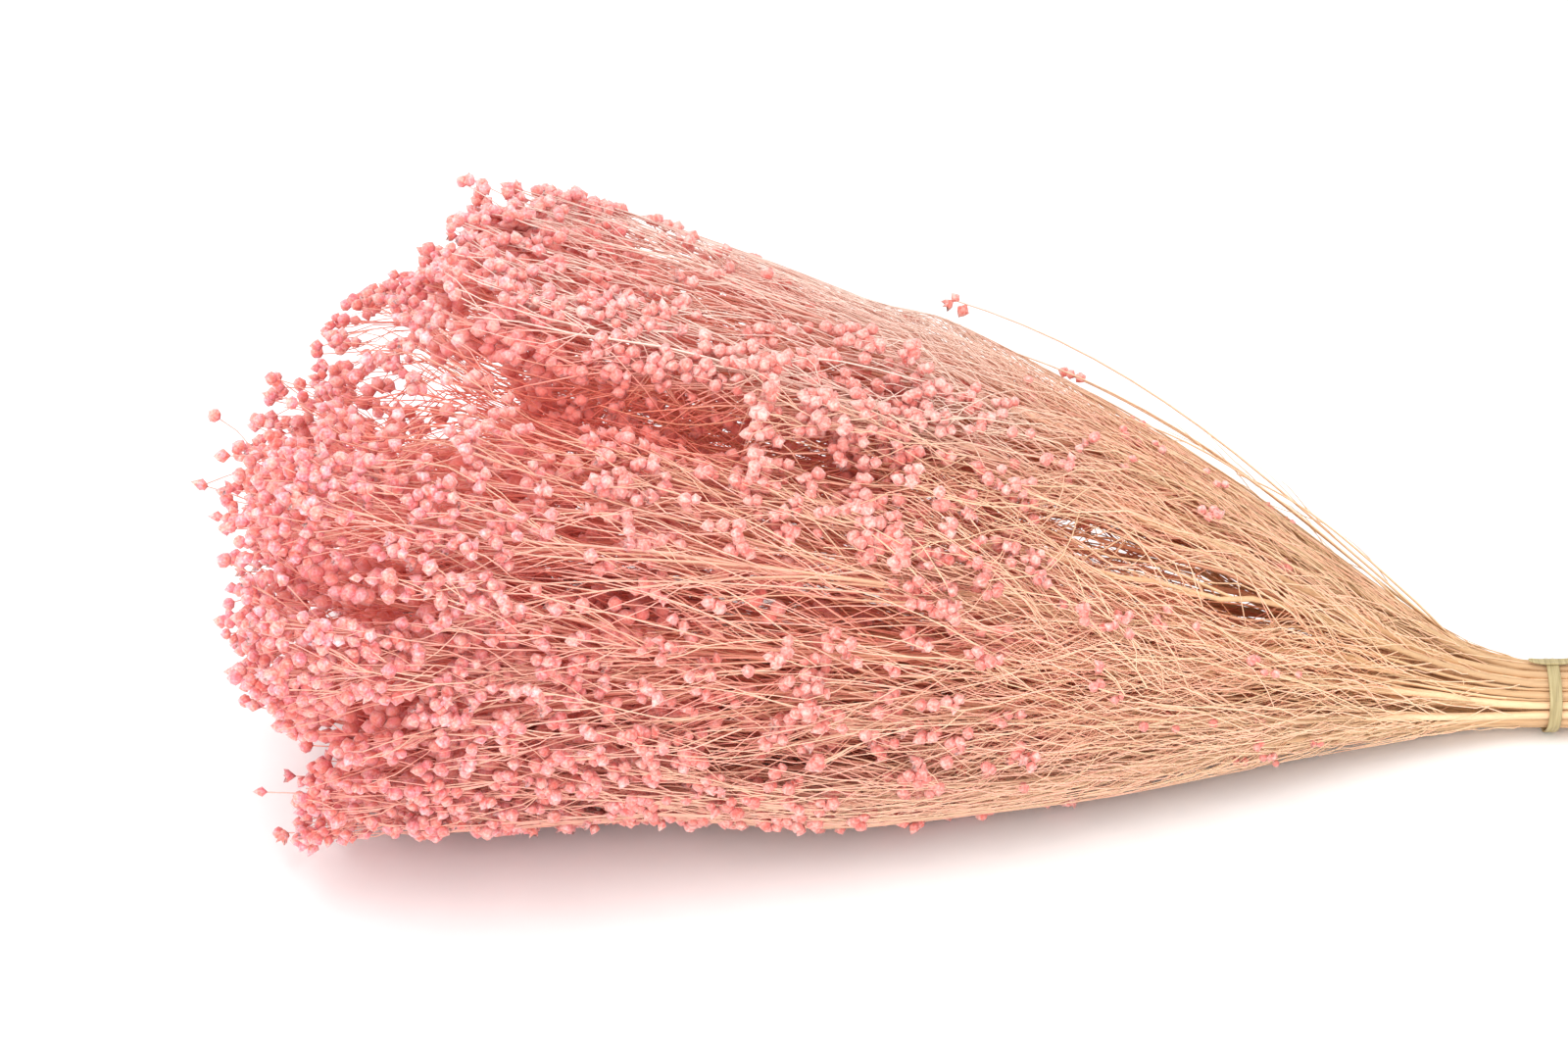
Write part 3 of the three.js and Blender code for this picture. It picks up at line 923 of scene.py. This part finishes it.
for number, sides in enumerate(SIDES):
    chosen = add_node(dress, "FunctionNodeCompare", {3: number}, {2: grade}, data_type="INT",
                      operation="EQUAL")
    split = add_node(dress, "GeometryNodeSeparateGeometry",
                     links={"Geometry": rest, "Selection": chosen.outputs[0]}, domain="POINT")
    rest = split.outputs["Inverted"]
    curve = add_node(dress, "GeometryNodeMeshToCurve", links={"Mesh": split.outputs["Selection"]})
    circle = add_node(dress, "GeometryNodeCurvePrimitiveCircle", {"Radius": 1.0},
                      {"Resolution": given[sides]})
    tube = add_node(dress, "GeometryNodeCurveToMesh", {"Fill Caps": True},
                    {"Curve": curve.outputs[0], "Profile Curve": circle.outputs[0], "Scale": thick})
    tubes.append(tube.outputs[0])
wood = add_node(dress, "GeometryNodeJoinGeometry", links={0: tubes})
wood = add_node(dress, "GeometryNodeSetMaterial",
                links={"Geometry": wood.outputs[0], "Material": given["Stem finish"]})
heading, size, kind = [add_node(dress, "GeometryNodeInputNamedAttribute", {"Name": name}, data_type=form)
                       for name, form in (("heading", "FLOAT_VECTOR"), ("size", "FLOAT"), ("kind", "INT"))]
aim = add_node(dress, "FunctionNodeAlignRotationToVector", links={"Vector": heading.outputs[0]}, axis="Z")
roll = add_node(dress, "FunctionNodeRandomValue", {2: 0.0, 3: 6.283}, {"Seed": given["Seed"]},
                data_type="FLOAT")
rolled = add_node(dress, "ShaderNodeCombineXYZ", links={"Z": roll.outputs[1]})
turned = add_node(dress, "FunctionNodeEulerToRotation", links={0: rolled.outputs[0]})
faced = add_node(dress, "FunctionNodeRotateRotation",
                 links={"Rotation": aim.outputs[0], "Rotate By": turned.outputs[0]}, rotation_space="LOCAL")
shapes = add_node(dress, "GeometryNodeCollectionInfo", {"Separate Children": True, "Reset Children": True},
                  {"Collection": given["Bud kinds"]})
buds = add_node(dress, "GeometryNodeInstanceOnPoints", {"Pick Instance": True},
                {"Points": rest, "Instance": shapes.outputs[0], "Instance Index": kind.outputs[0],
                 "Rotation": faced.outputs[0], "Scale": size.outputs[0]})
real = add_node(dress, "GeometryNodeRealizeInstances", links={"Geometry": buds.outputs[0]})
papered = add_node(dress, "GeometryNodeSetMaterial",
                   links={"Geometry": real.outputs[0], "Material": given["Bud finish"]})
whole = add_node(dress, "GeometryNodeJoinGeometry", links={0: [wood.outputs[0], papered.outputs[0]]})
soft = add_node(dress, "GeometryNodeSetShadeSmooth", links={"Geometry": whole.outputs[0]})
add_node(dress, "NodeGroupOutput", links={0: soft.outputs[0]})

# %% [markdown]
# Each spray is dressed on its own, because it is one grown piece and stands for one piece of the CAD model.
# The result is copied to a plain mesh, and the object with the modifier is thrown away.

# %% Dressing the sprays
SOCKETS = {item.name: item.identifier for item in dress.interface.items_tree if item.in_out == "INPUT"}


def fill_slots(mesh):
    """Drops the empty material slot that the bare lines brought along."""
    chosen = np.zeros(len(mesh.polygons), np.int32)
    mesh.polygons.foreach_get("material_index", chosen)
    paper_faces = np.array([m == paper for m in mesh.materials])[chosen]
    mesh.materials.clear()
    mesh.materials.append(straw)
    mesh.materials.append(paper)
    mesh.polygons.foreach_set("material_index", paper_faces.astype(np.int32))


def add_object(name, data):
    thing = bpy.data.objects.new(name, data)
    bpy.context.scene.collection.objects.link(thing)
    return thing


def dressed(name, growth, seed):
    carrier = add_object(name + "_lines", line_mesh(name + "_lines", growth))
    change = carrier.modifiers.new("dress", "NODES")
    change.node_group = dress
    values = {**SIDES, "Bud kinds": bud_kinds, "Seed": seed, "Stem finish": straw, "Bud finish": paper}
    for key, value in values.items():
        change[SOCKETS[key]] = value
    graph = bpy.context.evaluated_depsgraph_get()
    mesh = bpy.data.meshes.new_from_object(carrier.evaluated_get(graph))
    lines = carrier.data
    bpy.data.objects.remove(carrier)
    bpy.data.meshes.remove(lines)
    mesh.name = name
    fill_slots(mesh)
    for spent in ("size", "kind", "grade", "thick", "heading"):
        mesh.attributes.remove(mesh.attributes[spent])
    return add_object(name, mesh)


faces = []
for stem, growth in zip(stems, growths):
    piece = dressed(f"flowering_spray_{stem['number']:02d}", growth, stem["number"])
    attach(piece, "root")
    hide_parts(f"bloom_spray_{stem['number']:02d}")
    faces.append(sum(len(p.vertices) - 2 for p in piece.data.polygons))
print("triangles:", sum(faces), "most in one spray:", max(faces))
print("finishes of a spray:", [m.name for m in piece.data.materials])

# %% [markdown]
# ## The tie
# The bunch is bound with one flat strip of split reed, about 4 mm wide, with a crease along its middle. It
# goes round the stems, and its ends lie on top: a short one tucked towards the head, a long one over the
# cut stems. It is made as a strip swept along a path, a cross-section at a time.

# %% Sweeping a strip of reed


def strip_section(width, thickness):
    """Corners of a flat strip with a crease along its upper side, as (across, up)."""
    w, h = width / 2, thickness / 2
    return [(-w, -h * 0.6), (-w * 0.55, -h), (w * 0.55, -h), (w, -h * 0.6), (w, h * 0.6), (w * 0.62, h),
            (w * 0.2, h * 0.9), (0, h * 0.35), (-w * 0.2, h * 0.9), (-w * 0.62, h), (-w, h * 0.6)]


def swept(path, ups, widths, thickness, closed):
    verts, faces = [], []
    rows = len(path)
    for k in range(rows):
        before = path[(k - 1) % rows] if closed or k > 0 else path[k]
        after = path[(k + 1) % rows] if closed or k < rows - 1 else path[k]
        ahead = (after - before) / np.linalg.norm(after - before)
        across = np.cross(ups[k], ahead)
        across = across / np.linalg.norm(across)
        up = np.cross(ahead, across)
        for a, b in strip_section(widths[k], thickness):
            verts.append(path[k] + across * a + up * b)
    n = len(strip_section(1, 1))
    for k in range(rows if closed else rows - 1):
        here, there = k * n, (k + 1) % rows * n
        for j in range(n):
            i = (j + 1) % n
            faces.append((here + j, here + i, there + i, there + j))
    if not closed:
        faces.append(tuple(range(n))[::-1])
        faces.append(tuple(range((rows - 1) * n, rows * n)))
    return verts, faces


TIE_MIDDLE = 11.85
STRIP_WIDE = 4.1
STRIP_THICK = 0.6
around = np.linspace(0, 2 * math.pi, 72, endpoint=False)
lumps = 0.12 * np.sin(9 * around + 0.6) + 0.08 * np.sin(5 * around)
ring_out = np.stack([0 * around, np.cos(around), np.sin(around)], axis=1)
ring_path = ring_out * (TIE_MIDDLE + lumps)[:, None] + [0, 0, AXIS_HEIGHT]
ring_path[:, 0] = 0.25 * np.sin(2 * around + 0.5)
ring_path[:, 2] = np.maximum(ring_path[:, 2], 0.36)
verts, faces = swept(ring_path, ring_out, np.full(len(around), STRIP_WIDE), STRIP_THICK, True)
run = np.array([-8.0, -6.6, -4.8, -2.2, 0, 2.4, 5, 9, 14, 19, 24, 27.6])
rise = np.array([25.6, 25.35, 25.0, 24.72, 24.7, 24.72, 24.85, 25.1, 25.25, 25.4, 25.65, 25.8])
tail_path = np.stack([run, 0.35 * np.sin(run / 7), rise], axis=1)
widths = np.array([1.6, 2.6, 3.1, 3.3, 3.4, 3.4, 3.3, 3.3, 3.2, 3.1, 2.9, 2.4])
tail_up = np.tile([0.0, 0.0, 1.0], (len(run), 1))
more_verts, more_faces = swept(tail_path, tail_up, widths, STRIP_THICK, False)
faces += [tuple(i + len(verts) for i in face) for face in more_faces]
verts += more_verts
strip = bpy.data.meshes.new("reed_strip")
strip.from_pydata(((np.array(verts) + SHIFT) * MM).tolist(), [], faces)
strip.shade_smooth()
reed_strip = add_object("reed_strip", strip)
print("the strip has", len(strip.polygons), "faces")

# %% [markdown]
# Split reed is a pale khaki grass stalk. Its outer skin is smooth with a low gloss, and fine fibres run
# along it, drawn 0.5 mm apart so that they show. Round the bunch they run across X, so the pattern is
# stretched along the other two directions.

# %% Split reed
reed, tree, shader = new_finish("split_reed", 0.45, 1.5)
spot = add_node(tree, "ShaderNodeTexCoord").outputs["Object"]
stretch = add_node(tree, "ShaderNodeMapping", {"Scale": (1, 0.05, 0.05)}, {"Vector": spot})
fibre = add_node(tree, "ShaderNodeTexNoise", {"Scale": 1 / (0.5 * MM), "Detail": 4},
                 {"Vector": stretch.outputs[0]}).outputs[0]
skin = add_node(tree, "ShaderNodeValToRGB", links={"Fac": fibre})
set_stops(skin, [(0.3, "#8C7B52"), (0.5, "#AA996C"), (0.72, "#BFAF82")])
tree.links.new(skin.outputs[0], shader.inputs["Base Color"])
ridge = add_node(tree, "ShaderNodeBump", {"Strength": 0.4, "Distance": 0.1 * MM}, {"Height": fibre})
tree.links.new(ridge.outputs[0], shader.inputs["Normal"])
strip.materials.append(reed)
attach(reed_strip, "root")
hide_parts("reed_tie")

# %% [markdown]
# ## The table, the light and the camera
# The bunch lies on white card under a wide soft lamp, with a low one in front and light from all round. The
# camera looks down by 28 degrees at the long side, from 1.25 m, with a lens of about 90 mm.

# %% White table
bpy.ops.mesh.primitive_plane_add(size=8, location=(0, 0, 0))
table = bpy.context.object
table.name = "white_table"
card, tree, shader = new_finish("matt_white_card", 0.9, 1.5)
spot = add_node(tree, "ShaderNodeTexCoord").outputs["Object"]
mottle = add_node(tree, "ShaderNodeTexNoise", {"Scale": 60}, {"Vector": spot})
white = add_node(tree, "ShaderNodeValToRGB", links={"Fac": mottle.outputs[0]})
set_stops(white, [(0.3, "#FAFAFA"), (0.7, "#FDFDFD")])
tree.links.new(white.outputs[0], shader.inputs["Base Color"])
table.data.materials.append(card)

# %% Soft light
sky = bpy.data.worlds.new("white_studio")
bpy.context.scene.world = sky
sky.use_nodes = True
glow = sky.node_tree.nodes["Background"].inputs
glow["Color"].default_value = (1, 1, 1, 1)
glow["Strength"].default_value = 1.24


def soft_lamp(name, spot, target, side, watts):
    lamp = bpy.data.lights.new(name, "AREA")
    lamp.size = side
    lamp.energy = watts
    body = add_object(name, lamp)
    body.location = spot
    body.rotation_euler = (Vector(target) - Vector(spot)).to_track_quat("-Z", "Y").to_euler()


soft_lamp("wide_lamp_above", (-0.3, -0.4, 1.45), (-0.1, 0, 0.05), 1.2, 7)
soft_lamp("low_front_lamp", (-0.3, -1.4, 0.6), (-0.1, 0, 0.05), 1.2, 8.5)

# %% Camera and finish
TARGET = np.array([-251.2, 0, 77.0]) + SHIFT
DISTANCE = 1250
view = bpy.data.cameras.new("camera")
view.lens = 89.56
view.sensor_width = 36
view.clip_end = 20
camera = add_object("camera", view)
back = np.array([0, -math.cos(EYE_RISE), math.sin(EYE_RISE)])
camera.location = (TARGET + back * DISTANCE) * MM
camera.rotation_euler = (math.pi / 2 - EYE_RISE, 0, 0)
bpy.context.scene.camera = camera
bpy.context.scene.view_settings.view_transform = "Standard"
